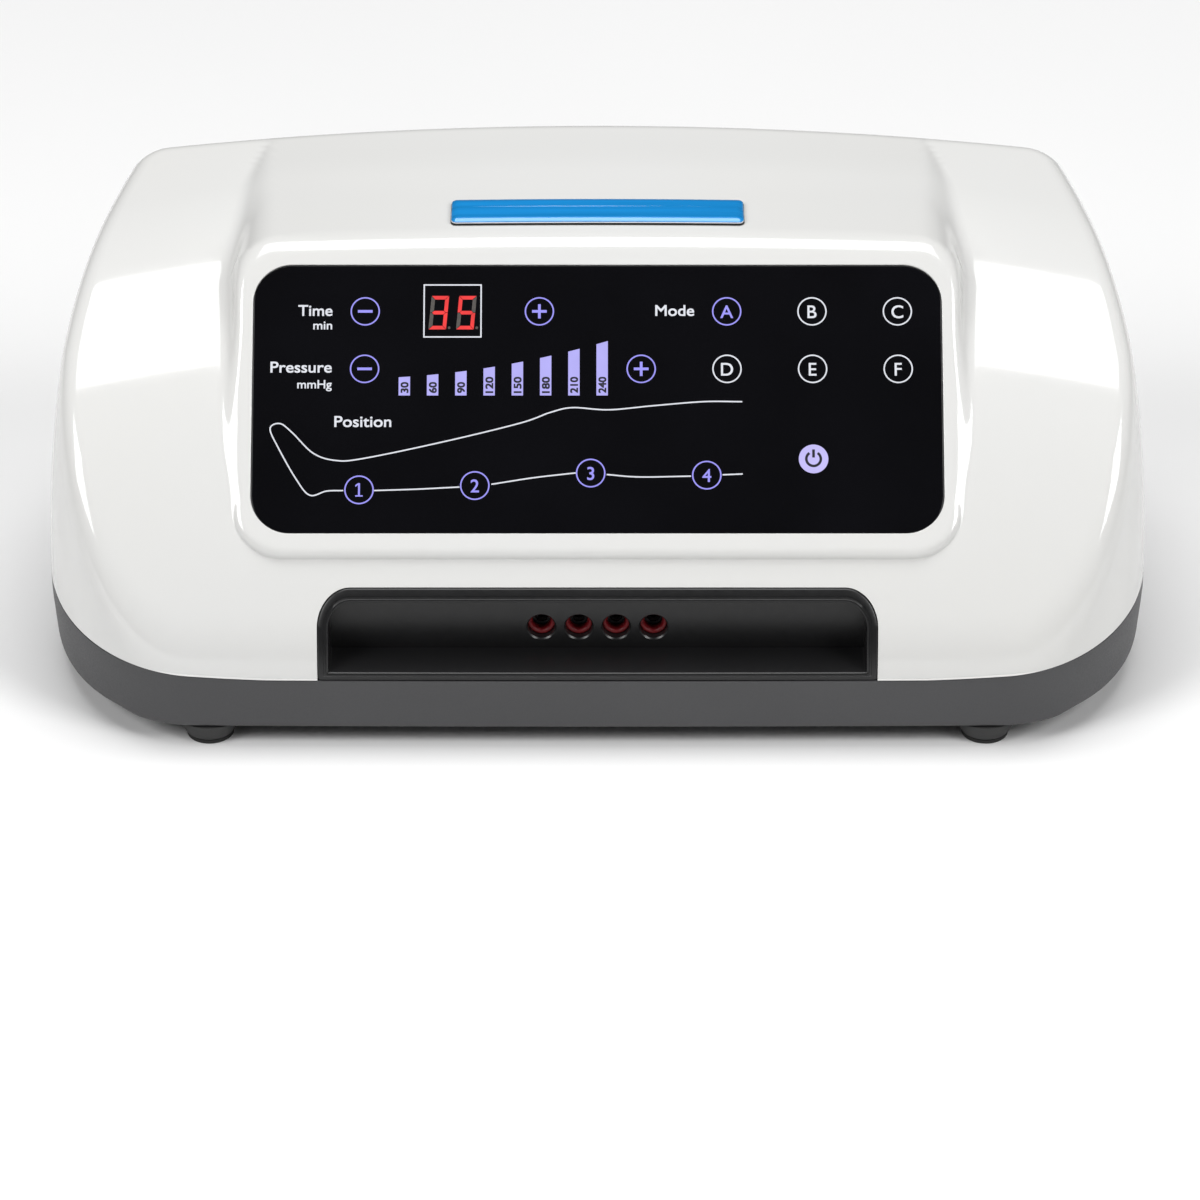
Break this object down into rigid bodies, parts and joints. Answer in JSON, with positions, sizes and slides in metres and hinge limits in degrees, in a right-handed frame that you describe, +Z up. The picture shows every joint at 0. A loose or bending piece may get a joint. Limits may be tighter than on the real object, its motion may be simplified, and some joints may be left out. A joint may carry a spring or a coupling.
{
  "type": "compression therapy pump",
  "caption": "Desk console of a sequential air compression pump: white hooded case with a sloping black touch panel, a bay of air outlets in front, dark base on feet.",
  "frame": {"origin": "on the surface that the feet stand on, under the middle of the case", "axes": "+X to the right seen from the front, +Y to the back, +Z up; the touch panel faces -Y and up"},
  "size_m": [0.4038, 0.1977, 0.1608],
  "materials": {
    "shell_white": "gloss white moulding",
    "base_grey": "fine matt dark grey moulding",
    "panel_glass": "black backed touch glass",
    "bezel_black": "satin black moulding",
    "plate_blue": "blue domed resin plate",
    "seal_red": "dark red silicone",
    "rubber_black": "black rubber",
    "foot_grey": "dark grey moulding",
    "light_guide": "milky light guide",
    "display_dark": "dark display block",
    "board_green": "green circuit board",
    "valve_plastic": "natural nylon",
    "hose_clear": "translucent silicone hose",
    "winding_copper": "enamelled copper winding",
    "core_steel": "varnished laminated steel",
    "frame_alloy": "die-cast alloy",
    "screw_steel": "plated steel",
    "switch_black": "satin black moulding"
  },
  "bodies": {
    "console": {"upper_housing": "shell_white", "lower_housing": "base_grey", "control_panel": "panel_glass", "light_guide": "light_guide", "touch_board": "board_green", "digit_display": "display_dark", "nameplate": "plate_blue", "outlet_bezel": "bezel_black", "port_plate": "bezel_black", "outlet_manifold": "valve_plastic", "valve_block": "valve_plastic", "outlet_seal_1": "seal_red", "outlet_seal_2": "seal_red", "outlet_seal_3": "seal_red", "outlet_seal_4": "seal_red", "outlet_hose_1": "hose_clear", "outlet_hose_2": "hose_clear", "outlet_hose_3": "hose_clear", "outlet_hose_4": "hose_clear", "solenoid_coil_1": "switch_black", "solenoid_coil_2": "switch_black", "solenoid_coil_3": "switch_black", "solenoid_coil_4": "switch_black", "feed_hose": "hose_clear", "link_hose": "hose_clear", "pump_frame": "frame_alloy", "magnet_core_left": "core_steel", "magnet_core_right": "core_steel", "winding_left": "winding_copper", "winding_right": "winding_copper", "diaphragm_front": "rubber_black", "diaphragm_rear": "rubber_black", "pump_head_front": "valve_plastic", "pump_head_rear": "valve_plastic", "pump_mount_1": "rubber_black", "pump_mount_2": "rubber_black", "pump_mount_3": "rubber_black", "pump_mount_4": "rubber_black", "main_board": "board_green", "transformer": "core_steel", "inlet_socket": "switch_black", "rocker_frame": "switch_black", "foot_1": "foot_grey", "foot_2": "foot_grey", "foot_3": "foot_grey", "foot_4": "foot_grey", "foot_pad_1": "rubber_black", "foot_pad_2": "rubber_black", "foot_pad_3": "rubber_black", "foot_pad_4": "rubber_black", "case_screw_1": "screw_steel", "case_screw_2": "screw_steel", "case_screw_3": "screw_steel", "case_screw_4": "screw_steel"},
    "rocker": {"mains_rocker": "switch_black"},
    "armature": {"armature": "screw_steel"},
    "plunger_1": {"valve_plunger_1": "screw_steel"},
    "plunger_2": {"valve_plunger_2": "screw_steel"},
    "plunger_3": {"valve_plunger_3": "screw_steel"},
    "plunger_4": {"valve_plunger_4": "screw_steel"}
  },
  "joints": [
    {"name": "mains_switch", "type": "hinge", "parent": "console", "child": "rocker", "pos_m": [0.076, 0.09477, 0.0535], "axis": [1, 0, 0], "range_deg": [-20, 0]},
    {"name": "pump_stroke", "type": "slide", "parent": "console", "child": "armature", "axis": [0, 1, 0], "range_m": [-0.0015, 0.0015], "stiffness_N_per_m": 800},
    {"name": "valve_lift_1", "type": "slide", "parent": "console", "child": "plunger_1", "axis": [0, 0, 1], "range_m": [0, 0.0025], "stiffness_N_per_m": 200, "springref_m": -0.002},
    {"name": "valve_lift_2", "type": "slide", "parent": "console", "child": "plunger_2", "axis": [0, 0, 1], "range_m": [0, 0.0025], "stiffness_N_per_m": 200, "springref_m": -0.002},
    {"name": "valve_lift_3", "type": "slide", "parent": "console", "child": "plunger_3", "axis": [0, 0, 1], "range_m": [0, 0.0025], "stiffness_N_per_m": 200, "springref_m": -0.002},
    {"name": "valve_lift_4", "type": "slide", "parent": "console", "child": "plunger_4", "axis": [0, 0, 1], "range_m": [0, 0.0025], "stiffness_N_per_m": 200, "springref_m": -0.002}
  ]
}
